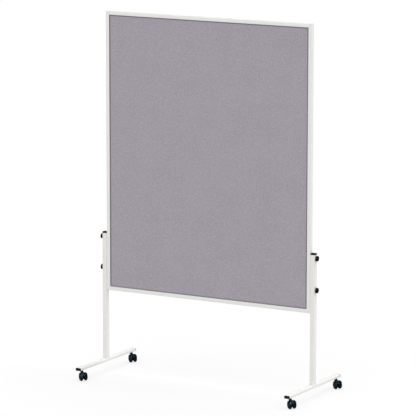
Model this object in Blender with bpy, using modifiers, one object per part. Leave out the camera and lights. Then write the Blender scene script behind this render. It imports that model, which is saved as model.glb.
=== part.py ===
"""Mobile felt partition board: a framed panel held between two posts on castor feet.

Units are metres, +Z is up, the panel faces -Y and the origin is on the floor below the
middle of the panel. Every separate piece of the object is one named object. Pieces that
touch keep a gap of 0.3 mm. Each castor hangs from an empty on its swivel axis and each
clamp knob from an empty on its screw axis.
"""

import math

import bmesh
import bpy
from mathutils import Matrix, Vector

MM = 0.001
GAP = 0.3 * MM

# Board: outer size of the frame, and the section of its bars
BOARD_WIDTH = 1228 * MM
BOARD_HEIGHT = 1500 * MM
BOARD_BOTTOM = 448 * MM
FRAME_FACE = 20 * MM
FRAME_DEPTH = 22 * MM
FRAME_WALL = 1.8 * MM
FRAME_CHAMBER = 8.4 * MM
FRAME_EDGE_RADIUS = 0.8 * MM
MITRE_GAP = 0.22 * MM

# Panel inside the frame
CORE_THICKNESS = 13.4 * MM
FELT_THICKNESS = 1.9 * MM
PANEL_EDGE = 13 * MM

# Steel angles inside the frame's corners
CONNECTOR_LEG = 60 * MM
CONNECTOR_INSET = 2.4 * MM
CONNECTOR_THICKNESS = 2.5 * MM
CONNECTOR_DEPTH = 17 * MM

# Posts
POST_SIDE = 26 * MM
POST_WALL = 1.5 * MM
POST_RADIUS = 2.5 * MM
POST_TO_FRAME = 0.5 * MM
POST_OVERLAP = 308 * MM
CAP_THICKNESS = 7 * MM
CAP_LIP = 0.5 * MM
PLUG_BODY_LENGTH = 10 * MM

# Feet
FOOT_WIDTH = 30 * MM
FOOT_HEIGHT = 15 * MM
FOOT_LENGTH = 570 * MM
FOOT_WALL = 1.5 * MM
FOOT_RADIUS = 2 * MM
FOOT_UNDERSIDE = 55 * MM
FOOT_PLUG_FLANGE = 4 * MM
FOOT_TO_CASTOR = 31 * MM

# Bolt that joins foot and post
BOLT_RADIUS = 4 * MM
BOLT_CLEARANCE_RADIUS = 4.5 * MM
BOLT_HEAD_RADIUS = 6.5 * MM
BOLT_HEAD_HEIGHT = 4.5 * MM
BOLT_ACCESS_RADIUS = 8 * MM
BOLT_LENGTH = 26 * MM
POST_NUT_HEIGHT = 22 * MM

# Clamp knobs, measured above the board's lower edge and outward from the post
KNOB_HEIGHTS = {"upper": 289 * MM, "lower": 122 * MM}
KNOB_RADIUS = 14.5 * MM
KNOB_LOBES = 8
KNOB_LOBE_DEPTH = 0.9 * MM
KNOB_HEAD = 10 * MM
KNOB_EDGE = 2 * MM
WASHER_RADIUS = 7.5 * MM
WASHER_THICKNESS = 2.6 * MM
STUD_RADIUS = 4 * MM
STUD_BORE_RADIUS = 4.4 * MM
STUD_END = 8.6 * MM
INSERT_RADIUS = 5.5 * MM
INSERT_LENGTH = 9.2 * MM

# Castors, seen with the stem axis at the origin and the wheels trailing along +X
CASTOR_TRAIL = 21 * MM
CASTOR_SWIVEL = -28
WHEEL_RADIUS = 21.5 * MM
WHEEL_HUB_RADIUS = 6 * MM
WHEEL_HUB_FACE = 6.4 * MM
WHEEL_INNER_FACE = 9.8 * MM
WHEEL_OUTER_FACE = 18.6 * MM
HOUSING_RADIUS = 25 * MM
HOUSING_WIDTH = 12 * MM
HOUSING_LOWEST = 13 * MM
GUARD_INNER_RADIUS = 22.4 * MM
GUARD_OUTER_RADIUS = 23.8 * MM
GUARD_WIDTH = 33 * MM
GUARD_START = 24
BOSS_RADIUS = 4.8 * MM
BOSS_REACH = 13 * MM
BOSS_FOOT = 27 * MM
BOSS_TOP = 52.6 * MM
STEM_PIN_RADIUS = 3 * MM
STEM_PIN_LENGTH = 14 * MM
STEM_THREAD_RADIUS = 4 * MM
STEM_COLLAR_RADIUS = 5 * MM
STEM_COLLAR = 1.5 * MM
AXLE_RADIUS = 2.5 * MM
AXLE_LENGTH = 29.6 * MM

WHEEL_STEPS = 24
ROUND_STEPS = 16

FINISHES = {
    "white_powder_coat": ((0.80, 0.79, 0.77), 0.45, 0.0),
    "grey_felt": ((0.35, 0.32, 0.36), 0.95, 0.0),
    "fibreboard": ((0.55, 0.42, 0.28), 0.85, 0.0),
    "black_plastic": ((0.02, 0.02, 0.022), 0.4, 0.0),
    "black_tread": ((0.012, 0.016, 0.02), 0.3, 0.0),
    "zinc_steel": ((0.60, 0.60, 0.58), 0.35, 1.0),
}

SIDES = {"left": -1, "right": 1}
ENDS = {"front": -1, "rear": 1}


# ---------------------------------------------------------------- scene and materials


def clear_scene():
    for obj in list(bpy.data.objects):
        bpy.data.objects.remove(obj, do_unlink=True)


def finish(name):
    """The Principled material of that finish, made once."""
    found = bpy.data.materials.get(name)
    if found:
        return found
    colour, roughness, metallic = FINISHES[name]
    material = bpy.data.materials.new(name)
    material.use_nodes = True
    shader = material.node_tree.nodes["Principled BSDF"]
    shader.inputs["Base Color"].default_value = (*colour, 1.0)
    shader.inputs["Roughness"].default_value = roughness
    shader.inputs["Metallic"].default_value = metallic
    return material


def place(name, mesh, finish_name, matrix, parent=None):
    """A named piece, at a matrix that is relative to its parent."""
    if not mesh.materials:
        mesh.materials.append(finish(finish_name))
    obj = bpy.data.objects.new(name, mesh)
    PIECES.objects.link(obj)
    obj.parent = parent
    obj.matrix_local = matrix
    return obj


def axis_empty(name, matrix, parent=None):
    """An empty on a joint's axis, which the moving pieces hang from."""
    empty = bpy.data.objects.new(name, None)
    empty.empty_display_size = 0.02
    PIECES.objects.link(empty)
    empty.parent = parent
    empty.matrix_local = matrix
    return empty


# ---------------------------------------------------------------- shapes


def shift(x=0.0, y=0.0, z=0.0):
    return Matrix.Translation((x, y, z))


def turn(degrees, axis):
    return Matrix.Rotation(math.radians(degrees), 4, axis)


def rounded(corners, radius, segments=2):
    """An outline of right-angled corners, each one rounded by an arc."""
    points = []
    for i, corner in enumerate(corners):
        corner = Vector(corner)
        back = (Vector(corners[i - 1]) - corner).normalized()
        ahead = (Vector(corners[(i + 1) % len(corners)]) - corner).normalized()
        centre = corner + radius * (back + ahead)
        for step in range(segments + 1):
            angle = math.pi / 2 * step / segments
            points.append(centre - radius * (math.cos(angle) * ahead + math.sin(angle) * back))
    return points


def rectangle(width, height, radius):
    x, y = width / 2, height / 2
    return rounded([(-x, -y), (x, -y), (x, y), (-x, y)], radius)


def circle(radius, steps, centre=(0.0, 0.0)):
    return [
        (
            centre[0] + radius * math.cos(2 * math.pi * i / steps),
            centre[1] + radius * math.sin(2 * math.pi * i / steps),
        )
        for i in range(steps)
    ]


def evaluated_mesh(obj):
    """The object's mesh, modifiers applied, welded and facing out; the object is removed."""
    graph = bpy.context.evaluated_depsgraph_get()
    mesh = bpy.data.meshes.new_from_object(obj.evaluated_get(graph))
    bpy.data.objects.remove(obj, do_unlink=True)
    bm = bmesh.new()
    bm.from_mesh(mesh)
    bmesh.ops.remove_doubles(bm, verts=bm.verts, dist=1e-6)
    bmesh.ops.recalc_face_normals(bm, faces=bm.faces)
    bm.to_mesh(mesh)
    bm.free()
    return mesh


def temporary(name, data):
    obj = bpy.data.objects.new(name, data)
    bpy.context.scene.collection.objects.link(obj)
    return obj


def extruded(name, outlines, thickness):
    """A flat outline with its holes in local XY, thickened equally both ways along Z."""
    curve = bpy.data.curves.new(name, "CURVE")
    curve.dimensions = "2D"
    curve.fill_mode = "BOTH"
    curve.extrude = thickness / 2
    for points in outlines:
        spline = curve.splines.new("POLY")
        spline.points.add(len(points) - 1)
        for spline_point, (x, y) in zip(spline.points, points):
            spline_point.co = (x, y, 0.0, 1.0)
        spline.use_cyclic_u = True
    mesh = evaluated_mesh(temporary(name, curve))
    bpy.data.curves.remove(curve)
    return mesh


def bevelled(name, mesh, width, segments=1):
    """The mesh with its sharp edges rounded."""
    obj = temporary(name, mesh)
    modifier = obj.modifiers.new("Rounded edges", "BEVEL")
    modifier.width = width
    modifier.segments = segments
    modifier.limit_method = "ANGLE"
    modifier.angle_limit = math.radians(40)
    return evaluated_mesh(obj)


def turned(name, profile, steps=ROUND_STEPS, ring=False):
    """A profile of (radius, height) points turned about Z; a ring's profile is a closed loop."""
    edges = [(i, i + 1) for i in range(len(profile) - 1)]
    if ring:
        edges.append((len(profile) - 1, 0))
    line = bpy.data.meshes.new(name + "_profile")
    line.from_pydata([(radius, 0.0, height) for radius, height in profile], edges, [])
    obj = temporary(name, line)
    screw = obj.modifiers.new("Turned", "SCREW")
    screw.axis = "Z"
    screw.angle = 2 * math.pi
    screw.steps = steps
    screw.render_steps = steps
    screw.use_merge_vertices = True
    screw.merge_threshold = 1e-6
    mesh = evaluated_mesh(obj)
    bpy.data.meshes.remove(line)
    return smooth(mesh)


def smooth(mesh, degrees=35):
    mesh.shade_smooth()
    mesh.set_sharp_from_angle(angle=math.radians(degrees))
    return mesh


def combined(name, base, operation, *tools):
    """The base mesh after a Boolean with each tool, a pair of a mesh and its place."""
    obj = temporary(name, base)
    helpers = []
    for mesh, matrix in tools:
        helper = temporary(name + "_tool", mesh)
        helper.matrix_world = matrix
        helpers.append(helper)
        modifier = obj.modifiers.new("Boolean", "BOOLEAN")
        modifier.operation = operation
        modifier.solver = "EXACT"
        modifier.object = helper
    mesh = evaluated_mesh(obj)
    for helper in helpers:
        bpy.data.objects.remove(helper, do_unlink=True)
    return mesh


def cylinder(name, radius, length, steps=ROUND_STEPS):
    """A cylinder along Z, centred on the origin."""
    return extruded(name, [circle(radius, steps)], length)


# ---------------------------------------------------------------- board


def frame_bar(name, length):
    """A mitred bar along local Z; local X runs from its outer face inward, local Y is depth."""
    depth = FRAME_DEPTH / 2
    inner = depth - FRAME_WALL
    web = FRAME_WALL + FRAME_CHAMBER + FRAME_WALL
    channel = rounded(
        [(0, -depth), (FRAME_FACE, -depth), (FRAME_FACE, -inner), (web, -inner)]
        + [(web, inner), (FRAME_FACE, inner), (FRAME_FACE, depth), (0, depth)],
        FRAME_EDGE_RADIUS,
    )
    chamber = [
        (FRAME_WALL, -inner),
        (FRAME_WALL + FRAME_CHAMBER, -inner),
        (FRAME_WALL + FRAME_CHAMBER, inner),
        (FRAME_WALL, inner),
    ]
    mesh = extruded(name, [channel, chamber], length)
    for vertex in mesh.vertices:
        end = math.copysign(length / 2 - MITRE_GAP, vertex.co.z)
        vertex.co.z = end - math.copysign(vertex.co.x, end)
    return smooth(mesh)


def side_bar():
    """The frame bar at a post, drilled through its outer wall for the two threaded inserts."""
    hole = cylinder("insert_hole", INSERT_RADIUS + GAP, 3 * FRAME_WALL)
    middle = BOARD_HEIGHT / 2
    drills = [(hole, shift(z=height - middle) @ turn(90, "Y")) for height in KNOB_HEIGHTS.values()]
    return combined("side_bar", frame_bar("side_bar_blank", BOARD_HEIGHT), "DIFFERENCE", *drills)


def corner_connector():
    """A steel angle for the chambers of two bars; its outer corner is at the origin."""
    leg, plate = CONNECTOR_LEG, CONNECTOR_THICKNESS
    outline = [(0, 0), (leg, 0), (leg, plate), (plate, plate), (plate, leg), (0, leg)]
    return extruded("corner_connector", [outline], CONNECTOR_DEPTH)


def make_frame():
    centre = shift(z=BOARD_BOTTOM + BOARD_HEIGHT / 2)
    level, upright = frame_bar("level_bar", BOARD_WIDTH), side_bar()
    lying = turn(180, "X") @ turn(90, "Y")
    bottom = shift(z=-BOARD_HEIGHT / 2) @ lying
    right = turn(-90, "Y") @ shift(z=-BOARD_WIDTH / 2) @ lying
    bars = {
        "frame_bottom": (level, bottom),
        "frame_top": (level, turn(180, "Y") @ bottom),
        "frame_right": (upright, right),
        "frame_left": (upright, turn(180, "Z") @ right),
    }
    for name, (mesh, matrix) in bars.items():
        place(name, mesh, "white_powder_coat", centre @ matrix)

    connector = corner_connector()
    reach_x = BOARD_WIDTH / 2 - CONNECTOR_INSET
    reach_z = BOARD_HEIGHT / 2 - CONNECTOR_INSET
    corners = {
        "bottom_left": (-reach_x, -reach_z, 0),
        "top_left": (-reach_x, reach_z, 90),
        "top_right": (reach_x, reach_z, 180),
        "bottom_right": (reach_x, -reach_z, 270),
    }
    for corner, (x, z, degrees) in corners.items():
        matrix = centre @ shift(x=x, z=z) @ turn(degrees, "Y") @ turn(90, "X")
        place("corner_connector_" + corner, connector, "zinc_steel", matrix)


def make_panel():
    centre = shift(z=BOARD_BOTTOM + BOARD_HEIGHT / 2)
    width = BOARD_WIDTH - 2 * PANEL_EDGE
    height = BOARD_HEIGHT - 2 * PANEL_EDGE
    outline = rectangle(width, height, 2 * MM)
    facing = turn(90, "X")
    core = extruded("panel_core", [outline], CORE_THICKNESS)
    place("panel_core", core, "fibreboard", centre @ facing)
    felt = extruded("felt", [outline], FELT_THICKNESS)
    offset = CORE_THICKNESS / 2 + GAP + FELT_THICKNESS / 2
    for end, sign in ENDS.items():
        place("felt_" + end, felt, "grey_felt", centre @ shift(y=sign * offset) @ facing)


# ---------------------------------------------------------------- legs


def square_tube(name, width, height, wall, radius, length):
    """An open tube along local Z."""
    inside = rectangle(width - 2 * wall, height - 2 * wall, max(radius - wall, 0.5 * MM))
    return smooth(extruded(name, [rectangle(width, height, radius), inside], length))


def tube_plug(name, width, height, wall, radius, flange, edge, lip=0.0):
    """A tube's end plug: its flange is centred on the origin and its body reaches down from it."""
    slack = 2 * (wall + GAP)
    body_length = PLUG_BODY_LENGTH + flange / 2
    cover = rectangle(width + 2 * lip, height + 2 * lip, radius)
    head = bevelled(name, extruded(name, [cover], flange), edge)
    body = extruded(name, [rectangle(width - slack, height - slack, 0.5 * MM)], body_length)
    return smooth(combined(name, head, "UNION", (body, shift(z=-body_length / 2))))


def post_mesh(length, bottom):
    """A post drilled through both sides for the clamp studs."""
    tube = square_tube("post", POST_SIDE, POST_SIDE, POST_WALL, POST_RADIUS, length)
    hole = cylinder("stud_hole", BOLT_CLEARANCE_RADIUS, 2 * POST_SIDE)
    middle = bottom + length / 2
    drills = [
        (hole, shift(z=BOARD_BOTTOM + height - middle) @ turn(90, "Y"))
        for height in KNOB_HEIGHTS.values()
    ]
    return combined("post", tube, "DIFFERENCE", *drills)


def post_nut():
    """The threaded block in a post's lower end."""
    side = POST_SIDE - 2 * (POST_WALL + GAP)
    outline = [rectangle(side, side, 1 * MM), circle(BOLT_CLEARANCE_RADIUS, ROUND_STEPS)]
    return extruded("post_nut", outline, POST_NUT_HEIGHT)


def foot_bolt():
    """A bolt standing head down: the head's top is at the origin and the shank rises from it."""
    head, lift = BOLT_HEAD_RADIUS, BOLT_HEAD_HEIGHT
    chamfer = 0.6 * MM
    profile = [
        (0, BOLT_LENGTH),
        (BOLT_RADIUS - chamfer, BOLT_LENGTH),
        (BOLT_RADIUS, BOLT_LENGTH - chamfer),
        (BOLT_RADIUS, 0),
        (head, 0),
        (head, -lift * 0.4),
        (head * 0.75, -lift),
        (0, -lift),
    ]
    socket = extruded("hex_socket", [circle(2.6 * MM, 6)], 2 * 2.8 * MM)
    bolt = turned("foot_bolt", profile)
    return smooth(combined("foot_bolt", bolt, "DIFFERENCE", (socket, shift(z=-lift))))


def foot_mesh(length):
    """A foot tube along local Z: local X is the floor's width, local Y points up.

    The castor stems go through its lower wall, the bolt through its upper one, and the
    bolt's head is reached through a wider hole below it.
    """
    tube = square_tube("foot", FOOT_WIDTH, FOOT_HEIGHT, FOOT_WALL, FOOT_RADIUS, length)
    reach = 3 * FOOT_WALL
    stem_hole = cylinder("stem_hole", STEM_THREAD_RADIUS + GAP, reach)
    bolt_hole = cylinder("bolt_hole", BOLT_CLEARANCE_RADIUS, reach)
    access_hole = cylinder("access_hole", BOLT_ACCESS_RADIUS, reach)
    low, high = -FOOT_HEIGHT / 2, FOOT_HEIGHT / 2
    across = turn(90, "X")
    drills = [(bolt_hole, shift(y=high) @ across), (access_hole, shift(y=low) @ across)]
    for sign in ENDS.values():
        along = sign * (FOOT_LENGTH / 2 - FOOT_TO_CASTOR)
        drills.append((stem_hole, shift(y=low, z=along) @ across))
    return combined("foot", tube, "DIFFERENCE", *drills)


def make_legs():
    post_x = BOARD_WIDTH / 2 + POST_TO_FRAME + POST_SIDE / 2
    foot_middle = FOOT_UNDERSIDE + FOOT_HEIGHT / 2
    foot_top = FOOT_UNDERSIDE + FOOT_HEIGHT
    post_bottom = foot_top + GAP
    post_top = BOARD_BOTTOM + POST_OVERLAP
    tube_length = FOOT_LENGTH - 2 * (FOOT_PLUG_FLANGE + GAP)

    post = post_mesh(post_top - post_bottom, post_bottom)
    cap = tube_plug(
        "post_cap", POST_SIDE, POST_SIDE, POST_WALL, POST_RADIUS, CAP_THICKNESS, 1 * MM, CAP_LIP
    )
    nut, bolt, foot = post_nut(), foot_bolt(), foot_mesh(tube_length)
    plug = tube_plug(
        "foot_plug", FOOT_WIDTH, FOOT_HEIGHT, FOOT_WALL, FOOT_RADIUS, FOOT_PLUG_FLANGE, 0.8 * MM
    )
    for side, sign in SIDES.items():
        leg = shift(x=sign * post_x)
        middle = (post_bottom + post_top) / 2
        place("post_" + side, post, "white_powder_coat", leg @ shift(z=middle))
        cap_place = shift(z=post_top + GAP + CAP_THICKNESS / 2)
        place("post_cap_" + side, cap, "black_plastic", leg @ cap_place)
        nut_place = shift(z=post_bottom + 1 * MM + POST_NUT_HEIGHT / 2)
        place("post_nut_" + side, nut, "zinc_steel", leg @ nut_place)
        bolt_place = shift(z=foot_top - FOOT_WALL - GAP)
        place("foot_bolt_" + side, bolt, "zinc_steel", leg @ bolt_place)
        lying = shift(z=foot_middle) @ turn(90, "X")
        place("foot_tube_" + side, foot, "white_powder_coat", leg @ lying)
        for end, way in ENDS.items():
            outward = shift(y=way * (tube_length + 2 * GAP + FOOT_PLUG_FLANGE) / 2, z=foot_middle)
            place(
                f"foot_plug_{side}_{end}",
                plug,
                "black_plastic",
                leg @ outward @ turn(-90 * way, "X"),
            )


# ---------------------------------------------------------------- clamp knobs


def knob_mesh():
    """A lobed knob and its stud; the head's inner face is at the origin, the head along +Z."""
    points = []
    count = KNOB_LOBES * 4
    for i in range(count):
        angle = 2 * math.pi * i / count
        radius = KNOB_RADIUS - KNOB_LOBE_DEPTH * (1 - math.cos(KNOB_LOBES * angle)) / 2
        points.append((radius * math.cos(angle), radius * math.sin(angle)))
    head = bevelled("knob_head", extruded("knob_head", [points], KNOB_HEAD), KNOB_EDGE, 2)
    length = stud_length()
    overlap = KNOB_HEAD / 2
    stud = turned(
        "knob_stud",
        [
            (0, overlap),
            (STUD_RADIUS, overlap),
            (STUD_RADIUS, 0.7 * MM - length),
            (STUD_RADIUS - 0.7 * MM, -length),
            (0, -length),
        ],
    )
    matrix = shift(z=-KNOB_HEAD / 2)
    head_and_stud = combined("clamp_knob", head, "UNION", (stud, matrix))
    head_and_stud.transform(shift(z=KNOB_HEAD / 2))
    return smooth(head_and_stud)


def stud_length():
    """From the head's inner face, through washer and post, to the stud's end in the frame."""
    return WASHER_THICKNESS + 2 * GAP + POST_SIDE + POST_TO_FRAME + STUD_END


def washer_mesh():
    rim = 0.4 * MM
    profile = [
        (STUD_BORE_RADIUS, WASHER_THICKNESS),
        (WASHER_RADIUS - rim, WASHER_THICKNESS),
        (WASHER_RADIUS, WASHER_THICKNESS - rim),
        (WASHER_RADIUS, rim),
        (WASHER_RADIUS - rim, 0),
        (STUD_BORE_RADIUS, 0),
    ]
    return turned("knob_washer", profile, ring=True)


def insert_mesh():
    """A flush rivet nut that reaches down from the origin, where it is level with the frame."""
    profile = [
        (STUD_BORE_RADIUS, 0),
        (INSERT_RADIUS, 0),
        (INSERT_RADIUS, -INSERT_LENGTH),
        (STUD_BORE_RADIUS, -INSERT_LENGTH),
    ]
    return turned("threaded_insert", profile, ring=True)


def make_clamps():
    knob, washer, insert = knob_mesh(), washer_mesh(), insert_mesh()
    frame_side = BOARD_WIDTH / 2
    post_outside = frame_side + POST_TO_FRAME + POST_SIDE
    for side, sign in SIDES.items():
        for level, height in KNOB_HEIGHTS.items():
            where = f"{side}_{level}"
            outward = shift(z=BOARD_BOTTOM + height) @ turn(90 * sign, "Y")
            insert_place = outward @ shift(z=frame_side)
            place("threaded_insert_" + where, insert, "zinc_steel", insert_place)
            axis = axis_empty(f"clamp_axis_{where}", outward @ shift(z=post_outside + GAP))
            place("knob_washer_" + where, washer, "black_plastic", Matrix(), axis)
            head_place = shift(z=WASHER_THICKNESS + GAP)
            place("clamp_knob_" + where, knob, "black_plastic", head_place, axis)


# ---------------------------------------------------------------- castors


def wheel_mesh():
    """A wheel about local Z, measured from the web's middle: hub inside, domed disc along +Z."""
    radius, bore = WHEEL_RADIUS, AXLE_RADIUS + GAP
    outer, inner = WHEEL_OUTER_FACE, WHEEL_INNER_FACE
    bore_end = AXLE_LENGTH / 2 + GAP
    disc = [
        (0, outer),
        (0.5 * radius, outer - 0.4 * MM),
        (0.85 * radius, outer - 1.4 * MM),
        (0.97 * radius, outer - 3 * MM),
        (radius, outer - 5 * MM),
        (0.96 * radius, inner + 0.6 * MM),
        (0.88 * radius, inner),
    ]
    hub = [(WHEEL_HUB_RADIUS, inner), (WHEEL_HUB_RADIUS, WHEEL_HUB_FACE)]
    hole = [(bore, WHEEL_HUB_FACE), (bore, bore_end), (0, bore_end)]
    return turned("castor_wheel", disc + hub + hole, WHEEL_STEPS)


def arc(radius, start, stop, count):
    """Points round the castor's axle, as a side view has it."""
    angles = [math.radians(start + (stop - start) * i / count) for i in range(count + 1)]
    return [
        (CASTOR_TRAIL + radius * math.cos(angle), WHEEL_RADIUS + radius * math.sin(angle))
        for angle in angles
    ]


def boss_outline():
    """Two half circles round the stem and round a point nearer to the wheels."""
    half = [math.pi * (i / 6 - 0.5) for i in range(7)]
    ahead = [(BOSS_REACH + BOSS_RADIUS * math.cos(a), BOSS_RADIUS * math.sin(a)) for a in half]
    behind = [(-BOSS_RADIUS * math.cos(a), -BOSS_RADIUS * math.sin(a)) for a in half]
    return ahead + behind


def hood_mesh():
    """Housing between the wheels, mudguard over them and boss for the stem, in one body."""
    standing = turn(90, "X")
    dip = math.degrees(math.asin((HOUSING_LOWEST - WHEEL_RADIUS) / HOUSING_RADIUS))
    housing_outline = arc(HOUSING_RADIUS, dip, 180 - dip, 16)
    housing = extruded("housing", [housing_outline], HOUSING_WIDTH)
    stop = 180 - GUARD_START
    guard_outline = arc(GUARD_OUTER_RADIUS, GUARD_START, stop, 12)
    guard_outline += arc(GUARD_INNER_RADIUS, stop, GUARD_START, 12)
    guard = extruded("guard", [guard_outline], GUARD_WIDTH)
    boss = extruded("boss", [boss_outline()], BOSS_TOP - BOSS_FOOT)
    pin_bore = cylinder("pin_bore", STEM_PIN_RADIUS + GAP, 2 * (STEM_PIN_LENGTH + GAP))
    axle_bore = cylinder("axle_bore", AXLE_RADIUS + GAP, 2 * HOUSING_WIDTH)
    boss_place = shift(z=(BOSS_TOP + BOSS_FOOT) / 2)
    hood = combined("castor_hood", housing, "UNION", (guard, Matrix()))
    hood.transform(standing)
    hood = combined("castor_hood", hood, "UNION", (boss, boss_place))
    holes = [
        (pin_bore, shift(z=BOSS_TOP)),
        (axle_bore, shift(x=CASTOR_TRAIL, z=WHEEL_RADIUS) @ standing),
    ]
    return smooth(combined("castor_hood", hood, "DIFFERENCE", *holes))


def stem_mesh():
    """Pin in the hood's boss, collar under the foot, thread in the foot's wall."""
    collar_top = FOOT_UNDERSIDE - GAP
    collar_foot = collar_top - STEM_COLLAR
    thread_top = FOOT_UNDERSIDE + FOOT_HEIGHT - FOOT_WALL - 3 * MM
    pin_end = BOSS_TOP - STEM_PIN_LENGTH
    profile = [
        (0, thread_top),
        (STEM_THREAD_RADIUS, thread_top),
        (STEM_THREAD_RADIUS, collar_top),
        (STEM_COLLAR_RADIUS, collar_top),
        (STEM_COLLAR_RADIUS, collar_foot),
        (STEM_PIN_RADIUS, collar_foot),
        (STEM_PIN_RADIUS, pin_end),
        (0, pin_end),
    ]
    return turned("castor_stem", profile)


def axle_mesh():
    return smooth(cylinder("castor_axle", AXLE_RADIUS, AXLE_LENGTH))


def make_castors():
    stem, hood, axle, wheel = stem_mesh(), hood_mesh(), axle_mesh(), wheel_mesh()
    post_x = BOARD_WIDTH / 2 + POST_TO_FRAME + POST_SIDE / 2
    reach = FOOT_LENGTH / 2 - FOOT_TO_CASTOR
    for side, sign in SIDES.items():
        for end, way in ENDS.items():
            where = f"{side}_{end}"
            spot = shift(x=sign * post_x, y=way * reach)
            place("castor_stem_" + where, stem, "zinc_steel", spot)
            heading = spot @ turn(CASTOR_SWIVEL, "Z")
            swivel = axis_empty("swivel_axis_" + where, heading)
            place("castor_hood_" + where, hood, "black_plastic", Matrix(), swivel)
            roll = axis_empty("roll_axis_" + where, shift(x=CASTOR_TRAIL, z=WHEEL_RADIUS), swivel)
            place("castor_axle_" + where, axle, "zinc_steel", turn(90, "X"), roll)
            for letter, way_out in (("a", -1), ("b", 1)):
                facing_out = turn(-90 * way_out, "X")
                place(f"castor_wheel_{where}_{letter}", wheel, "black_tread", facing_out, roll)


clear_scene()
PIECES = bpy.data.collections.new("partition_board")
bpy.context.scene.collection.children.link(PIECES)
make_frame()
make_panel()
make_legs()
make_clamps()
make_castors()
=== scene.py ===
"""Looks of the mobile felt partition board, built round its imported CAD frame.

Units are metres, +Z is up and the front felt faces -Y. Every visible CAD node is replaced
by a finer mesh in the same place; the nodes hidden inside the object keep their CAD mesh.
"""

import math

import bmesh
import bpy
from mathutils import Matrix, Vector, noise


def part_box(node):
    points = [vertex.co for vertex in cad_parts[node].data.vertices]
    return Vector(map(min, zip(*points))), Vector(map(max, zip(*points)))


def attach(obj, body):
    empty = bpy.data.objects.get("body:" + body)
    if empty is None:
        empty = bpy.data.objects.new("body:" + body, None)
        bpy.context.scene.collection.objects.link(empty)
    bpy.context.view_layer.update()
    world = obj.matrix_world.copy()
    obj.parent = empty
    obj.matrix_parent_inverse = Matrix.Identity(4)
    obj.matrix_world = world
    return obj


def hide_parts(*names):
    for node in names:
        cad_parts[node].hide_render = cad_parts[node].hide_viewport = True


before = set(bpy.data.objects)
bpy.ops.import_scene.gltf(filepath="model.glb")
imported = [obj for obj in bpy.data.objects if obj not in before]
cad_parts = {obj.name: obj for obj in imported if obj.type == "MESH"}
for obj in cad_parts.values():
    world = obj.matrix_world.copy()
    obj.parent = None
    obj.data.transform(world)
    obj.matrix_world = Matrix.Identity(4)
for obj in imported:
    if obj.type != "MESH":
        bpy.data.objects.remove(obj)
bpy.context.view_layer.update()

MM = 0.001
GAP = 0.3 * MM
WELD_DISTANCE = 1e-6
SIDES = {"left": -1, "right": 1}
ENDS = {"front": -1, "rear": 1}
LEVELS = ("upper", "lower")

# Camera of the main view: a long lens, from the right and a little above
CAMERA_AZIMUTH = 29.7
CAMERA_ELEVATION = 9.95
CAMERA_ROLL = 0.07
CAMERA_DISTANCE = 15.7
CAMERA_LENS = 259.75
CAMERA_TARGET = (0.0018, 0.0, 0.9447)

# Sections, as the CAD has them
FRAME_FACE = 20 * MM
FRAME_WALL = 1.8 * MM
FRAME_CHAMBER = 8.4 * MM
FRAME_EDGE = 0.8 * MM
CHAMBER_EDGE = 0.5 * MM
MITRE_GAP = 0.22 * MM
TUBE_WALL = 1.5 * MM
POST_RADIUS = 2.5 * MM
FOOT_RADIUS = 2.0 * MM

# Radii of the holes
INSERT_HOLE = 5.8 * MM
STUD_HOLE = 4.5 * MM
BOLT_HOLE = 4.5 * MM
BOLT_ACCESS_HOLE = 8 * MM
STEM_HOLE = 4.3 * MM
WASHER_HOLE = 4.4 * MM
SOCKET_HOLE = 3.3 * MM
AXLE_HOLE = 2.8 * MM

# Felt: a band inside the frame's lips is sunk and painted darker as shade, and the rest swells a
# little
FELT_THICKNESS = 1.9 * MM
FELT_COLUMNS = 120
FELT_ROWS = 148
FELT_SWELL = 0.25 * MM
FELT_SWELL_RISE = 14 * MM
PRESSED_DEPTH = 1.3 * MM
PRESSED_BAND = 4 * MM
PRESSED_RISE = 4 * MM
PRESSED_SIDE_EXTRA = 1 * MM
# Painted shade: the share kept along the bottom edge, and the rise over which it returns in full
BOTTOM_SHADE = 0.35
BOTTOM_SHADE_RISE = 12 * MM
# Grid lines near the felt's edge, as multiples of the width that the lips cover
FRINGE = (0.0, 0.5, 0.9, 1.0, 1.09, 1.25, 1.42, 1.57, 1.7, 1.85, 2.0, 2.14, 2.3, 3.2)

KNOB_LOBES = 8
LOBE_POWER = 1.6
KNOB_HEAD = 10 * MM
STUD_RADIUS = 4 * MM
STUD_PITCH = 1.25 * MM

# Castors: the heading at rest is in degrees; inner, outer, hub and reach lie along the axle
CASTOR_SWIVEL = -28
CASTOR_TRAIL = 21 * MM
STEM_TOP = 52.6 * MM
WHEEL_RADIUS = 21.5 * MM
WHEEL_INNER = 9.8 * MM
WHEEL_OUTER = 18.6 * MM
WHEEL_HUB = 6.4 * MM
AXLE_RADIUS = 2.5 * MM
AXLE_REACH = 14.8 * MM


# ---------------------------------------------------------------- meshes


def clamped(value):
    return min(max(value, 0.0), 1.0)


def turn(degrees, axis):
    return Matrix.Rotation(math.radians(degrees), 4, axis)


def shift(x=0.0, y=0.0, z=0.0):
    return Matrix.Translation((x, y, z))


def extent(node):
    """A node's size along X, Y and Z."""
    low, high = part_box(node)
    return [b - a for a, b in zip(low, high)]


def facing_out(mesh):
    """The mesh with doubled points welded and every face turned outward."""
    bm = bmesh.new()
    bm.from_mesh(mesh)
    bmesh.ops.remove_doubles(bm, verts=bm.verts, dist=WELD_DISTANCE)
    bmesh.ops.recalc_face_normals(bm, faces=bm.faces)
    bm.to_mesh(mesh)
    bm.free()
    return mesh


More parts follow.
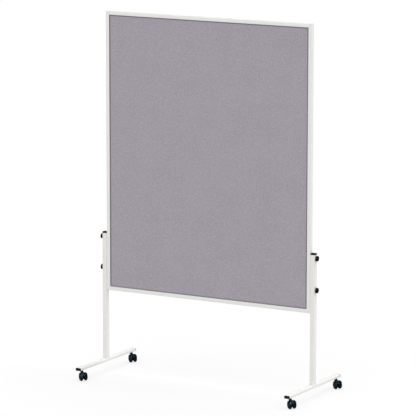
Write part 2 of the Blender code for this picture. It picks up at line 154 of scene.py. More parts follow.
def loft(name, rings, closed=False):
    """Quads between rings of equally many points, capped at both ends unless the loft closes."""
    count = len(rings[0])
    vertices = [point for ring in rings for point in ring]
    faces = []
    for i in range(len(rings) if closed else len(rings) - 1):
        j = (i + 1) % len(rings)
        for k in range(count):
            m = (k + 1) % count
            faces.append((i * count + k, i * count + m, j * count + m, j * count + k))
    if not closed:
        last = (len(rings) - 1) * count
        faces.append(tuple(reversed(range(count))))
        faces.append(tuple(range(last, last + count)))
    mesh = bpy.data.meshes.new(name)
    mesh.from_pydata(vertices, [], faces)
    return facing_out(mesh)


def softened(points, radius, segments=3, closed=False):
    """A line whose corners are replaced by small curves."""
    points = [Vector(point) for point in points]
    result = []
    for i, corner in enumerate(points):
        if not closed and i in (0, len(points) - 1):
            result.append(corner)
            continue
        back, ahead = points[i - 1] - corner, points[(i + 1) % len(points)] - corner
        start = corner + back.normalized() * min(radius, 0.45 * back.length)
        stop = corner + ahead.normalized() * min(radius, 0.45 * ahead.length)
        for step in range(segments + 1):
            t = step / segments
            result.append(start * (1 - t) ** 2 + corner * (2 * t * (1 - t)) + stop * t * t)
    return result


def turned(name, profile, steps=40, ring=False, soft=0.0, segments=3):
    """A profile of (radius, height) turned about Z; a ring's profile is a closed loop."""
    if soft:
        profile = softened(profile, soft, segments, ring)
    around = [2 * math.pi * k / steps for k in range(steps)]
    rings = [[(r * math.cos(a), r * math.sin(a), z) for a in around] for r, z in profile]
    return loft(name, rings, ring)


def cylinder(radius, length):
    return turned("cutter", [(radius, -length / 2), (radius, length / 2)], 32)


def rounded_box(width, depth, radius, segments=5):
    """Corner points of a rectangle with round corners, about the origin."""
    points = []
    for quarter, (sx, sy) in enumerate(((1, 1), (-1, 1), (-1, -1), (1, -1))):
        for step in range(segments + 1):
            angle = math.pi / 2 * (quarter + step / segments)
            points.append((
                sx * (width / 2 - radius) + radius * math.cos(angle),
                sy * (depth / 2 - radius) + radius * math.sin(angle),
            ))
    return points


def temporary(name, data):
    obj = bpy.data.objects.new(name, data)
    bpy.context.scene.collection.objects.link(obj)
    return obj


def evaluated(obj):
    """The mesh that a temporary object makes, which is then removed."""
    graph = bpy.context.evaluated_depsgraph_get()
    mesh = bpy.data.meshes.new_from_object(obj.evaluated_get(graph))
    bpy.data.objects.remove(obj, do_unlink=True)
    return facing_out(mesh)


def extruded(name, outlines, length):
    """Outlines in local XY, the first one's holes being the others, thickened along Z."""
    curve = bpy.data.curves.new(name, "CURVE")
    curve.dimensions = "2D"
    curve.fill_mode = "BOTH"
    curve.extrude = length / 2
    for points in outlines:
        spline = curve.splines.new("POLY")
        spline.points.add(len(points) - 1)
        for spline_point, point in zip(spline.points, points):
            spline_point.co = (point[0], point[1], 0.0, 1.0)
        spline.use_cyclic_u = True
    return evaluated(temporary(name, curve))


def combined(name, base, operation, *tools):
    """The base mesh after a Boolean with each tool, a pair of a mesh and its place."""
    obj = temporary(name, base)
    helpers = []
    for mesh, matrix in tools:
        helper = temporary(name + "_tool", mesh)
        helper.matrix_world = matrix
        helpers.append(helper)
        modifier = obj.modifiers.new("Boolean", "BOOLEAN")
        modifier.operation = operation
        modifier.solver = "EXACT"
        modifier.object = helper
    mesh = evaluated(obj)
    for helper in helpers:
        bpy.data.objects.remove(helper, do_unlink=True)
    return mesh


def piece(name, mesh, material, body, slot, matrix, nodes=(), sharp=40):
    """A shown piece in its place, standing for CAD nodes; edges beyond sharp degrees crease."""
    obj = bpy.data.objects.new(name, mesh)
    bpy.context.scene.collection.objects.link(obj)
    obj.matrix_world = matrix
    if not mesh.materials:
        mesh.materials.append(material)
        mesh.shade_smooth()
        mesh.set_sharp_from_angle(angle=math.radians(sharp))
    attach(obj, body)
    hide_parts(*nodes)
    return obj


# ---------------------------------------------------------------- materials


class Nodes:
    """A Principled material and short ways to add to its node tree."""

    def __init__(self, name, colour, roughness, metallic=0.0, **sockets):
        self.material = bpy.data.materials.new(name)
        self.material.use_nodes = True
        self.tree = self.material.node_tree
        self.shader = self.tree.nodes["Principled BSDF"]
        self.set("Base Color", (*colour, 1.0))
        self.set("Roughness", roughness)
        self.set("Metallic", metallic)
        for socket, value in sockets.items():
            self.set(socket.replace("_", " "), value)

    def set(self, socket, value):
        self.shader.inputs[socket].default_value = value

    def feed(self, socket, output):
        self.tree.links.new(output, self.shader.inputs[socket])

    def add(self, kind, links=(), **settings):
        """A node with attributes set, and (socket, value or output) pairs fed in."""
        node = self.tree.nodes.new(kind)
        for key, value in settings.items():
            setattr(node, key, value)
        for socket, value in links:
            if isinstance(value, bpy.types.NodeSocket):
                self.tree.links.new(value, node.inputs[socket])
            else:
                node.inputs[socket].default_value = value
        return node

    def coordinates(self, scale=(1, 1, 1), rotation=(0, 0, 0)):
        found = self.add("ShaderNodeTexCoord")
        links = [("Vector", found.outputs["Object"]), ("Scale", scale), ("Rotation", rotation)]
        return self.add("ShaderNodeMapping", links).outputs["Vector"]

    def radius(self):
        """The distance from the object's own Z axis."""
        found = self.add("ShaderNodeTexCoord")
        parts = self.add("ShaderNodeSeparateXYZ", [("Vector", found.outputs["Object"])]).outputs
        squares = [self.maths("MULTIPLY", part, part) for part in (parts["X"], parts["Y"])]
        return self.maths("SQRT", self.maths("ADD", *squares))

    def noise(self, scale, detail=3.0, roughness=0.5, distortion=0.0, vector=None):
        """Noise from 0 to 1 with about that many lumps to the metre."""
        links = [("Scale", scale), ("Detail", detail), ("Roughness", roughness)]
        links += [("Distortion", distortion), ("Vector", vector or self.coordinates())]
        return self.add("ShaderNodeTexNoise", links).outputs["Fac"]

    def spread(self, value, low, high, to_low=0.0, to_high=1.0):
        """The value's range from low to high stretched to another one, clamped."""
        links = [("Value", value), ("From Min", low), ("From Max", high)]
        links += [("To Min", to_low), ("To Max", to_high)]
        return self.add("ShaderNodeMapRange", links).outputs["Result"]

    def maths(self, operation, a, b=0.0):
        node = self.add("ShaderNodeMath", [(0, a), (1, b)], operation=operation)
        return node.outputs["Value"]

    def mixed(self, factor, dark, light):
        """A colour between two, either of which may be an output."""
        node = self.add("ShaderNodeMix", data_type="RGBA")
        for index, value in ((0, factor), (6, dark), (7, light)):
            if isinstance(value, bpy.types.NodeSocket):
                self.tree.links.new(value, node.inputs[index])
            else:
                node.inputs[index].default_value = (*value, 1.0) if index else value
        return node.outputs[2]

    def bump(self, height, strength, distance, normal=None):
        links = [("Height", height), ("Strength", strength), ("Distance", distance)]
        if normal:
            links.append(("Normal", normal))
        return self.add("ShaderNodeBump", links).outputs["Normal"]


def powder_coat():
    """Satin white powder coat: orange peel, a fine grain and a faint unevenness of tone."""
    m = Nodes("white_powder_coat", (0.706, 0.700, 0.679), 0.42, Specular_IOR_Level=0.14)
    tone = m.spread(m.noise(9, 2), 0.3, 0.7)
    specks = m.spread(m.noise(2600, 1), 0.66, 0.78)
    base = m.mixed(tone, (0.698, 0.692, 0.671), (0.714, 0.708, 0.687))
    m.feed("Base Color", m.mixed(specks, base, (0.60, 0.594, 0.575)))
    m.feed("Roughness", m.spread(m.noise(160, 3), 0.3, 0.7, 0.36, 0.48))
    peel = m.bump(m.noise(620, 2), 0.35, 0.03 * MM)
    m.feed("Normal", m.bump(m.noise(4200, 1), 0.2, 0.008 * MM, peel))
    return m.material


def felt():
    """Needled felt: curled fibres lying in three directions, some lighter, and soft lumps, with
    painted shade along the frame's lips.
    """
    m = Nodes("grey_felt", (0.34, 0.31, 0.355), 0.95, Specular_IOR_Level=0.12)
    m.set("Sheen Weight", 0.18)
    m.set("Sheen Roughness", 0.6)
    m.set("Sheen Tint", (0.86, 0.84, 0.9, 1.0))
    strands = None
    for index, degrees in enumerate((8, 67, 128)):
        along = m.coordinates((1, 1, 0.09), (0, math.radians(degrees), 0))
        layer = m.noise(1500 + 260 * index, 2, 0.55, 0.35, along)
        strands = m.maths("MAXIMUM", strands, layer) if strands else layer
    tufts = m.noise(420, 4, 0.62, 0.5)
    lumps = m.noise(150, 4, 0.62)
    cloud = m.noise(7, 3, 0.5)
    fibre = m.spread(strands, 0.48, 0.72)
    dark = m.mixed(m.spread(cloud, 0.3, 0.7), (0.262, 0.242, 0.276), (0.280, 0.259, 0.294))
    clumps = m.spread(lumps, 0.36, 0.64, -0.40, 0.20)
    share = m.maths("ADD", m.maths("MULTIPLY", fibre, 0.8), clumps)
    heathered = m.mixed(share, dark, (0.430, 0.404, 0.448))
    pale = m.spread(m.noise(2300, 2, 0.6, 1.2), 0.66, 0.76, 0.0, 0.5)
    heathered = m.mixed(pale, heathered, (0.55, 0.53, 0.565))
    flecks = m.spread(m.noise(980, 2, 0.5, 1.5), 0.68, 0.78, 0.0, 0.55)
    flecked = m.mixed(flecks, heathered, (0.13, 0.115, 0.14))
    # Painted shade: the felt's colour is darkened along the frame's lips, where the lips shade it
    painted_lip_shade = m.add("ShaderNodeAttribute", attribute_name="painted_lip_shade").outputs["Fac"]
    painted_lip_shade = m.maths("MULTIPLY", painted_lip_shade, 0.6)
    m.feed("Base Color", m.mixed(painted_lip_shade, flecked, (0.10, 0.092, 0.104)))
    height = m.maths("ADD", m.maths("MULTIPLY", strands, 0.6), tufts)
    soft = m.bump(lumps, 0.25, 0.4 * MM)
    m.feed("Normal", m.bump(height, 0.55, 0.22 * MM, soft))
    return m.material


def fibreboard():
    """Raw fibreboard: short brown fibres and a few darker bark flecks."""
    m = Nodes("fibreboard", (0.55, 0.42, 0.28), 0.88)
    fibres = m.noise(900, 4, 0.65, 0.8, m.coordinates((1, 1, 0.3)))
    flecks = m.spread(m.noise(520, 2), 0.68, 0.76)
    base = m.mixed(m.spread(fibres, 0.3, 0.7), (0.44, 0.32, 0.20), (0.62, 0.49, 0.34))
    m.feed("Base Color", m.mixed(flecks, base, (0.24, 0.15, 0.08)))
    m.feed("Normal", m.bump(fibres, 0.5, 0.1 * MM))
    return m.material


def black_plastic():
    """Moulded black plastic with a fine spark-eroded texture."""
    m = Nodes("black_plastic", (0.001, 0.001, 0.001), 0.42, Specular_IOR_Level=0.12)
    grain = m.noise(2400, 3, 0.6)
    worn = m.spread(m.noise(150, 4, 0.6), 0.4, 0.8)
    m.feed("Base Color", m.mixed(worn, (0.0006, 0.0006, 0.0007), (0.0018, 0.0018, 0.002)))
    m.feed("Roughness", m.spread(grain, 0.3, 0.7, 0.42, 0.62))
    m.feed("Normal", m.bump(grain, 0.4, 0.03 * MM))
    return m.material


def castor_plastic(name, gloss, dusty):
    """Hard blue-black nylon; where dusty, with turning marks and grey dust on the tread."""
    m = Nodes(name, (0.0002, 0.005, 0.009), gloss, Specular_IOR_Level=0.36)
    m.set("Specular Tint", (0.55, 0.72, 0.98, 1.0))
    blotches = m.noise(210, 4, 0.6)
    cloudy = m.spread(blotches, 0.35, 0.7)
    colour = m.mixed(cloudy, (0.0001, 0.0035, 0.0060), (0.0002, 0.0070, 0.0120))
    if dusty:
        radius = m.radius()
        rings = m.add("ShaderNodeCombineXYZ", [("X", radius)]).outputs["Vector"]
        marks = m.noise(2600, 2, 0.5, 0.0, rings)
        tread = m.spread(radius, WHEEL_RADIUS * 0.965, WHEEL_RADIUS * 0.995, 0.0, 0.5)
        dust = m.maths("MULTIPLY", tread, m.spread(m.noise(700, 4, 0.7), 0.35, 0.7))
        colour = m.mixed(dust, colour, (0.022, 0.024, 0.025))
        m.feed("Roughness", m.spread(dust, 0.0, 0.4, gloss, 0.62))
        m.feed("Normal", m.bump(marks, 0.10, 0.02 * MM))
    else:
        m.feed("Roughness", m.spread(blotches, 0.3, 0.7, gloss, gloss + 0.12))
        m.feed("Normal", m.bump(m.noise(1900, 3, 0.6), 0.16, 0.02 * MM))
    m.feed("Base Color", colour)
    return m.material


def zinc():
    """Zinc-plated steel: faint yellow and blue clouds, fine scratches."""
    m = Nodes("zinc_steel", (0.60, 0.60, 0.58), 0.34, 1.0)
    clouds = m.spread(m.noise(70, 3, 0.55), 0.35, 0.65)
    m.feed("Base Color", m.mixed(clouds, (0.58, 0.57, 0.52), (0.60, 0.62, 0.64)))
    scratches = m.noise(900, 3, 0.6, 0.1, m.coordinates((1, 0.08, 1)))
    m.feed("Roughness", m.spread(scratches, 0.3, 0.7, 0.26, 0.46))
    m.feed("Normal", m.bump(scratches, 0.2, 0.01 * MM))
    return m.material


WHITE = powder_coat()
FELT = felt()
BOARD = fibreboard()
BLACK = black_plastic()
WHEEL = castor_plastic("castor_wheel_plastic", 0.15, True)
HOOD = castor_plastic("castor_hood_plastic", 0.20, False)
ZINC = zinc()

for node_name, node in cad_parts.items():
    node.data.materials.clear()
    node.data.materials.append(BOARD if node_name == "panel_core" else ZINC)


# ---------------------------------------------------------------- frame and panel

FRAME_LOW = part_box("frame_bottom")[0]
FRAME_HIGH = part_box("frame_top")[1]
FRAME_DEPTH = extent("frame_top")[1]
BOARD_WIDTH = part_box("frame_right")[1].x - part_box("frame_left")[0].x
BOARD_HEIGHT = FRAME_HIGH.z - FRAME_LOW.z
BOARD_MIDDLE = (FRAME_HIGH.z + FRAME_LOW.z) / 2
STUD_SPOTS = {}
for side, sign in SIDES.items():
    for level in LEVELS:
        low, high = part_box(f"knob_washer_{side}_{level}")
        STUD_SPOTS[side, level] = (low + high) / 2


def drilled(name, mesh, middle, radius, length):
    """The mesh of an upright that stands with its middle at that height, holed for two studs."""
    hole = cylinder(radius, length)
    heights = [STUD_SPOTS["right", level].z - middle for level in LEVELS]
    drills = [(hole, shift(z=height) @ turn(90, "Y")) for height in heights]
    return combined(name, mesh, "DIFFERENCE", *drills)


def frame_bar(length):
    """A mitred bar along local Z; local X runs from its outer face inward, local Y is depth."""
    depth = FRAME_DEPTH / 2
    inner = depth - FRAME_WALL
    web = FRAME_WALL + FRAME_CHAMBER + FRAME_WALL
    channel = [(0, -depth), (FRAME_FACE, -depth), (FRAME_FACE, -inner), (web, -inner)]
    channel += [(web, inner), (FRAME_FACE, inner), (FRAME_FACE, depth), (0, depth)]
    chamber = [(FRAME_WALL, -inner), (web - FRAME_WALL, -inner)]
    chamber += [(web - FRAME_WALL, inner), (FRAME_WALL, inner)]
    outlines = [softened(channel, FRAME_EDGE, 4, True), softened(chamber, CHAMBER_EDGE, 2, True)]
    mesh = extruded("frame_bar", outlines, length)
    for vertex in mesh.vertices:
        end = math.copysign(length / 2 - MITRE_GAP, vertex.co.z)
        vertex.co.z = end - math.copysign(vertex.co.x, end)
    return mesh


def build_frame():
    level = frame_bar(BOARD_WIDTH)
    upright = frame_bar(BOARD_HEIGHT)
    upright = drilled("side_bar", upright, BOARD_MIDDLE, INSERT_HOLE, 3 * FRAME_WALL)
    lying = turn(180, "X") @ turn(90, "Y")
    bottom = shift(z=-BOARD_HEIGHT / 2) @ lying
    right = turn(-90, "Y") @ shift(z=-BOARD_WIDTH / 2) @ lying
    bars = {
        "bottom": (level, bottom),
        "top": (level, turn(180, "Y") @ bottom),
        "right": (upright, right),
        "left": (upright, turn(180, "Z") @ right),
    }
    for where, (mesh, matrix) in bars.items():
        node = "frame_" + where
        place = shift(z=BOARD_MIDDLE) @ matrix
        piece(node + "_bar", mesh, WHITE, "stand", "white_powder_coat", place, [node])


def felt_mesh(width, height):
    """A sheet facing -Y: flat where the frame's lips cover it, a little fuller in between, with
    painted shade along the lips.
    """
    lip = FRAME_FACE - (BOARD_WIDTH - width) / 2

    def stations(size, count):
        """Places of the grid lines along one side, closer together near both edges."""
        half = [lip * share for share in FRINGE]
        start, steps = half[-1], count // 2
        half += [start + (size / 2 - start) * i / steps for i in range(1, steps + 1)]
        return [-size / 2 + v for v in half] + [size / 2 - v for v in reversed(half[:-1])]

    def sunk_and_shaded(x, z):
        """1 along the lips, 0 where the felt has risen to its full thickness: the band that sinks
        the felt and carries the painted shade.
        """
        edge = min(width / 2 - abs(x) - PRESSED_SIDE_EXTRA, height / 2 - abs(z)) - lip
        t = clamped((edge - PRESSED_BAND) / PRESSED_RISE)
        return 1.0 - t * t * (3 - 2 * t)

    def shade(x, z):
        """The painted shade inside the lips, fainter along the bottom, where light falls into it.
        """
        rise = clamped((height / 2 + z - lip) / BOTTOM_SHADE_RISE)
        return sunk_and_shaded(x, z) * (BOTTOM_SHADE + (1 - BOTTOM_SHADE) * rise)

    def fullness(x, z):
        """How far the felt stands proud of its thickness."""
        edge = min(width / 2 - abs(x), height / 2 - abs(z))
        free = clamped((edge - lip) / FELT_SWELL_RISE)
        broad = noise.noise(Vector((x * 9, 3.1, z * 9)))
        fine = noise.noise(Vector((x * 38, 7.7, z * 38)))
        swell = free * FELT_SWELL * (1 + 0.5 * broad + 0.5 * fine)
        return swell - PRESSED_DEPTH * sunk_and_shaded(x, z)

    xs, zs = stations(width, FELT_COLUMNS), stations(height, FELT_ROWS)
    half_thickness = FELT_THICKNESS / 2
    front = [(x, -half_thickness - fullness(x, z), z) for z in zs for x in xs]
    back = [(x, half_thickness, z) for z in zs for x in xs]
    across, total = len(xs), len(front)
    faces = []
    for j in range(len(zs) - 1):
        for i in range(across - 1):
            a = j * across + i
            faces.append((a, a + 1, a + 1 + across, a + across))
            faces.append((total + a, total + a + across, total + a + 1 + across, total + a + 1))
    rim = list(range(across))
    rim += [j * across + across - 1 for j in range(1, len(zs))]
    rim += [(len(zs) - 1) * across + i for i in reversed(range(across - 1))]
    rim += [j * across for j in reversed(range(1, len(zs) - 1))]
    for a, b in zip(rim, rim[1:] + rim[:1]):
        faces.append((a, total + a, total + b, b))
    mesh = bpy.data.meshes.new("felt_sheet")
    mesh.from_pydata(front + back, [], faces)
    # Painted shade along the lips, kept on the points for the felt's colour
    attribute = mesh.attributes.new("painted_lip_shade", "FLOAT", "POINT")
    attribute.data.foreach_set("value", [shade(x, z) for x, _, z in front + back])
    return facing_out(mesh)


def build_felt():
    width, _, height = extent("felt_front")
    mesh = felt_mesh(width, height)
    for end, way in ENDS.items():
        node = "felt_" + end
        low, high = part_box(node)
        place = Matrix.Translation((low + high) / 2) @ turn(0 if way < 0 else 180, "Z")
        name = node + "_sheet"
        sheet = piece(name, mesh, FELT, "stand", "grey_felt", place, [node], sharp=60)


# ---------------------------------------------------------------- legs


def tube(width, height, radius, length):
    """A rounded rectangular tube along Z, about the origin."""
    inner_radius = max(radius - TUBE_WALL, 0.5 * MM)
    inside = rounded_box(width - 2 * TUBE_WALL, height - 2 * TUBE_WALL, inner_radius)
    return extruded("tube", [rounded_box(width, height, radius), inside], length)


def post_mesh():
    """A post about the origin, holed for its two studs."""
    low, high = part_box("post_right")
    side, _, length = extent("post_right")
    blank = tube(side, side, POST_RADIUS, length)
    return drilled("post", blank, (low.z + high.z) / 2, STUD_HOLE, 2 * side)


def foot_mesh():
    """A foot along Z with its top to +Y, holed for the post's bolt and the castors' stems."""
    width, length, height = extent("foot_tube_right")
    stem_low, stem_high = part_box("castor_stem_right_rear")
    reach = (stem_low.y + stem_high.y) / 2
    upward = turn(90, "X")
    above, below = shift(y=height / 2), shift(y=-height / 2)
    depth = 3 * TUBE_WALL
    cuts = [(cylinder(BOLT_HOLE, depth), above @ upward)]
    cuts.append((cylinder(BOLT_ACCESS_HOLE, depth), below @ upward))
    for way in ENDS.values():
        cuts.append((cylinder(STEM_HOLE, depth), below @ shift(z=way * reach) @ upward))
    blank = tube(width, height, FOOT_RADIUS, length)
    return combined("foot", blank, "DIFFERENCE", *cuts)


def plug(head_size, head_radius, flange, edge, body_size, body_length):
    """An end plug: soft-edged flange above the origin, ribbed body below it."""

    def head_ring(inset, height, radius=head_radius):
        width, depth = [length - 2 * inset for length in head_size]
        return [(x, y, height) for x, y in rounded_box(width, depth, radius)]

    chamfer, dish = 0.35 * MM, 0.12 * MM
    head = [head_ring(chamfer, 0.0), head_ring(0.0, chamfer)]
    for step in range(6):
        angle = math.pi / 2 * step / 5
        height = flange - edge + edge * math.sin(angle)
        head.append(head_ring(edge * (1 - math.cos(angle)), height))
    head.append(head_ring(3 * edge, flange - dish, head_radius * 0.5))

    width, depth = body_size
    groove, slope, rib_end = 0.6 * MM, 0.4 * MM, 1.0 * MM
    rib = rounded_box(width, depth, 0.8 * MM, 3)
    waist = rounded_box(width - 2 * groove, depth - 2 * groove, 0.6 * MM, 3)
    sections = [(flange / 2, waist)]
    for share in (0.12, 0.34, 0.56, 0.78):
        top = -body_length * share
        sections += [(top, waist), (top - slope, rib)]
        sections += [(top - rib_end, rib), (top - rib_end - slope, waist)]
    sections.append((-body_length, waist))
    body = [[(x, y, height) for x, y in outline] for height, outline in sections]
    return combined("plug", loft("plug_head", head), "UNION", (loft("plug_body", body), Matrix()))


def cap_mesh():
    """A post's cap, its flange's underside at the origin."""
    low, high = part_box("post_cap_right")
    post_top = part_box("post_right")[1].z
    width, depth, _ = extent("post_cap_right")
    inside = extent("post_right")[0] - 2 * (TUBE_WALL + GAP)
    flange = high.z - post_top - GAP
    length = post_top - low.z
    return plug((width, depth), POST_RADIUS, flange, 1.2 * MM, (inside, inside), length)


def stopper_mesh():
    """A foot tube's end plug, its flange's inner face at the origin."""
    low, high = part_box("foot_plug_right_rear")
    foot_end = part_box("foot_tube_right")[1].y
    width, _, height = extent("foot_tube_right")
    inside = [size - 2 * (TUBE_WALL + GAP) for size in (width, height)]
    flange = high.y - foot_end - GAP
    length = foot_end - low.y
    return plug((width, height), FOOT_RADIUS, flange, 0.9 * MM, inside, length)


def build_legs():
    post, foot, cap, stopper = post_mesh(), foot_mesh(), cap_mesh(), stopper_mesh()
    low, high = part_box("post_right")
    foot_low, foot_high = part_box("foot_tube_right")
    coat = (WHITE, "stand", "white_powder_coat")
    moulded = (BLACK, "stand", "black_plastic")
    for where, sign in SIDES.items():
        leg = shift(x=sign * (low.x + high.x) / 2)
        post_place = leg @ shift(z=(low.z + high.z) / 2)
        piece(f"post_{where}_tube", post, *coat, post_place, [f"post_{where}"])
        cap_place = leg @ shift(z=high.z + GAP)
        piece(f"post_{where}_cap", cap, *moulded, cap_place, [f"post_cap_{where}"])
        lying = leg @ shift(z=(foot_low.z + foot_high.z) / 2)
        piece(f"foot_{where}_tube", foot, *coat, lying @ turn(90, "X"), [f"foot_tube_{where}"])
        for end, way in ENDS.items():
            outward = lying @ shift(y=way * (foot_high.y + GAP)) @ turn(-90 * way, "X")
            name = f"foot_{where}_{end}_plug"
            piece(name, stopper, *moulded, outward, [f"foot_plug_{where}_{end}"])


# ---------------------------------------------------------------- clamp knobs


def lobed(radius, depth, height):
    """A ring of rounded lobes, with valleys of that depth between them."""
    points, steps = [], 96
    for k in range(steps):
        angle = 2 * math.pi * k / steps
        valley = (0.5 - 0.5 * math.cos(KNOB_LOBES * angle)) ** LOBE_POWER
        r = radius - depth * valley
        points.append((r * math.cos(angle), r * math.sin(angle), height))
    return points


def knob_head():
    """A lobed grip along +Z from its inner face: crowned outside, with a dished boss."""
    # Radius, depth of the valleys and height of each ring, in millimetres
    stations = [
        (4.6, 0.0, 1.6), (9.6, 0.0, 1.2), (10.1, 0.0, 0.1), (12.9, 0.6, 0.0),
        (13.8, 0.8, 0.3), (14.3, 0.9, 0.9), (14.5, 0.9, 1.8), (14.5, 0.9, 6.4),
        (14.35, 0.9, 7.4), (13.9, 0.85, 8.3), (13.1, 0.75, 9.0), (11.9, 0.55, 9.5),
        (9.8, 0.25, 9.85), (7.6, 0.0, 10.0), (6.9, 0.0, 9.95), (6.5, 0.0, 9.6),
        (6.1, 0.0, 9.3), (2.5, 0.0, 9.25),
    ]
    return loft("knob_head", [lobed(r * MM, depth * MM, z * MM) for r, depth, z in stations])


def screw_thread(length, top):
    """A threaded rod of that length hanging below the origin, plain above it up to top."""
    steps, rows_per_turn = 24, 6
    depth, plain_inset = 0.68 * MM, 0.3 * MM
    tip_inset, tip_length = 0.75 * MM, 0.9 * MM
    angles = [2 * math.pi * k / steps for k in range(steps)]
    rings = []
    rows = int(length / STUD_PITCH * rows_per_turn)
    for row in range(rows + 1):
        z = -length + length * row / rows
        taper = min(1.0, (z + length) / tip_length)
        ring = []
        for k, angle in enumerate(angles):
            # The crests and roots are flat, with slopes between them
            phase = (z / STUD_PITCH - k / steps) % 1.0
            crest = clamped(1.25 - abs(phase - 0.5) * 3.2)
            r = STUD_RADIUS - max(depth * (1 - crest), tip_inset * (1 - taper))
            ring.append((r * math.cos(angle), r * math.sin(angle), z))
        rings.append(ring)
    r = STUD_RADIUS - plain_inset
    for z in (0.2 * MM, top):
        rings.append([(r * math.cos(a), r * math.sin(a), z) for a in angles])
    return loft("stud_thread", rings)


def washer_mesh():
    """A plastic washer along +Z from its inner face, chamfered towards the knob."""
    thickness, _, diameter = extent("knob_washer_right_upper")
    radius, chamfer = diameter / 2, 1.1 * MM
    profile = [
        (WASHER_HOLE, 0), (radius, 0), (radius, thickness * 0.55),
        (radius - chamfer, thickness), (WASHER_HOLE, thickness),
    ]
    return turned("washer", profile, 48, True, 0.35 * MM)


def build_clamps():
    knob_low, knob_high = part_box("clamp_knob_right_upper")
    washer_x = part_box("knob_washer_right_upper")[0].x
    seat_x = knob_high.x - KNOB_HEAD
    washer, head = washer_mesh(), knob_head()
    stud = screw_thread(seat_x - knob_low.x, 2.5 * MM)
    for (side, level), spot in STUD_SPOTS.items():
        sign = SIDES[side]
        where = f"{side}_{level}"
        outward = turn(90 * sign, "Y")
        inner = shift(x=sign * washer_x, z=spot.z) @ outward
        piece(
            f"washer_{where}_ring", washer, BLACK, f"washer_{where}", "black_plastic",
            inner, [f"knob_washer_{where}"],
        )
        seat = shift(x=sign * seat_x, z=spot.z) @ outward
        knob = f"knob_{where}"
        nodes = [f"clamp_knob_{where}"]
        piece(knob + "_grip", head, BLACK, knob, "black_plastic", seat, nodes, sharp=50)
        piece(knob + "_stud", stud, ZINC, knob, "zinc_steel", seat, sharp=30)


# ---------------------------------------------------------------- castors


def around_axle(radius, degrees):
    """X and Z of a point at that distance from the wheels' axle."""
    angle = math.radians(degrees)
    return CASTOR_TRAIL + radius * math.cos(angle), WHEEL_RADIUS + radius * math.sin(angle)


def guard_mesh():
    """The thin mudguard: crowned across, lipped at its rims, narrowing in a curve to both ends."""
    start, stop, steps = 24, 156, 40
    outer, thickness, half_width = 23.8 * MM, 1.3 * MM, 16.5 * MM
    end_share, end_width = 0.16, 0.62
    crown, crown_power, inner_crown, bevel = 0.9 * MM, 3.2, 0.2, 0.2 * MM
    columns = 12
    across = [-1 + 2 * k / columns for k in range(columns + 1)]
    rings = []
    for step in range(steps + 1):
        t = step / steps
        degrees = start + (stop - start) * t
        ease = clamped(min(t, 1 - t) / end_share)
        width = half_width * (end_width + (1 - end_width) * math.sqrt(1 - (1 - ease) ** 2))
        drops = [crown * abs(u) ** crown_power for u in across]
        section = [(u * width, outer - drop) for u, drop in zip(across, drops)]
        inner = outer - thickness
        section += [
            (-u * (width - bevel), inner - drop * inner_crown) for u, drop in zip(across, drops)
        ]
        ring = []
        for y, radius in section:
            x, z = around_axle(radius, degrees)
            ring.append((x, y, z))
        rings.append(ring)
    return loft("guard", rings)


def housing_mesh():
    """The body between the wheels: a disc cut off flat near the floor, with soft rims."""
    radius, lowest, steps = 25 * MM, 13 * MM, 44
    dip = math.degrees(math.asin((lowest - WHEEL_RADIUS) / radius))
    angles = [dip + (180 - 2 * dip) * k / steps for k in range(steps + 1)]
    rings = []
    # Place across and inset of each ring, in millimetres
    for y, inset in ((-6, 1.2), (-5.7, 0.5), (-5.0, 0.0), (5.0, 0.0), (5.7, 0.5), (6, 1.2)):
        outline = [around_axle(radius - inset * MM, degrees) for degrees in angles]
        rings.append([(x, y * MM, max(z, lowest + inset * 0.5 * MM)) for x, z in outline])
    return loft("housing", rings)


def boss_mesh(radius, reach, foot, top):
    """The stem's socket, drawn out towards the wheels, with a collar at its mouth."""

    def ring(extra, height):
        points = []
        for k in range(48):
            angle = 2 * math.pi * k / 48
            x, y = (radius + extra) * math.cos(angle), (radius + extra) * math.sin(angle)
            points.append((x + (reach if math.cos(angle) > 0 else 0.0), y, height))
        return points

    stations = [
        (-1.6, foot), (-0.6, foot + 0.7 * MM), (0.0, foot + 2 * MM), (0.0, top - 4.2 * MM),
        (-0.45, top - 3.9 * MM), (-0.45, top - 3.3 * MM), (0.0, top - 3.0 * MM),
        (0.0, top - 0.8 * MM), (-0.25, top - 0.25 * MM), (-0.8, top),
    ]
    return loft("boss", [ring(extra * MM, height) for extra, height in stations])


def hood_mesh():
    """A castor's hood in one, with its stem's socket and the axle's bore."""
    boss = boss_mesh(radius=4.8 * MM, reach=13 * MM, foot=27 * MM, top=STEM_TOP)
    hood = combined("hood", housing_mesh(), "UNION", (guard_mesh(), Matrix()), (boss, Matrix()))
    socket_depth, axle_depth = 14.3 * MM, 15 * MM
    axle_place = shift(x=CASTOR_TRAIL, z=WHEEL_RADIUS) @ turn(90, "X")
    return combined(
        "hood", hood, "DIFFERENCE",
        (cylinder(SOCKET_HOLE, 2 * socket_depth), shift(z=STEM_TOP)),
        (cylinder(AXLE_HOLE, 2 * axle_depth), axle_place),
    )


def wheel_mesh():
    """A wheel about Z, its cover outward: ringed cover, crowned tread, dished inside, hub."""
    # Radius and depth below the outer face, then radius and rise from the inner rim, in mm
    cover = [
        (1.2, 0.5), (4.6, 0.5), (5.0, 0.0), (9.0, 0.15), (12.2, 0.4), (12.6, 0.9),
        (13.3, 0.95), (13.7, 0.5), (16.2, 0.85), (18.4, 1.5), (20.0, 2.5), (21.0, 3.7),
        (21.5, 4.9), (21.3, 6.1),
    ]
    inside = [(20.7, 1.4), (19.9, 0.5), (19.0, 0.0), (17.2, 0.0), (16.8, 3.6), (6.4, 4.4)]
    profile = [(r * MM, WHEEL_OUTER - depth * MM) for r, depth in cover]
    profile += [(r * MM, WHEEL_INNER + rise * MM) for r, rise in inside]
    bore_end = WHEEL_OUTER - 3.6 * MM
    profile += [(6.0 * MM, WHEEL_HUB), (AXLE_HOLE, WHEEL_HUB)]
    profile += [(AXLE_HOLE, bore_end), (1.2 * MM, bore_end)]
    return turned("wheel", profile, 64, soft=0.35 * MM, segments=2)


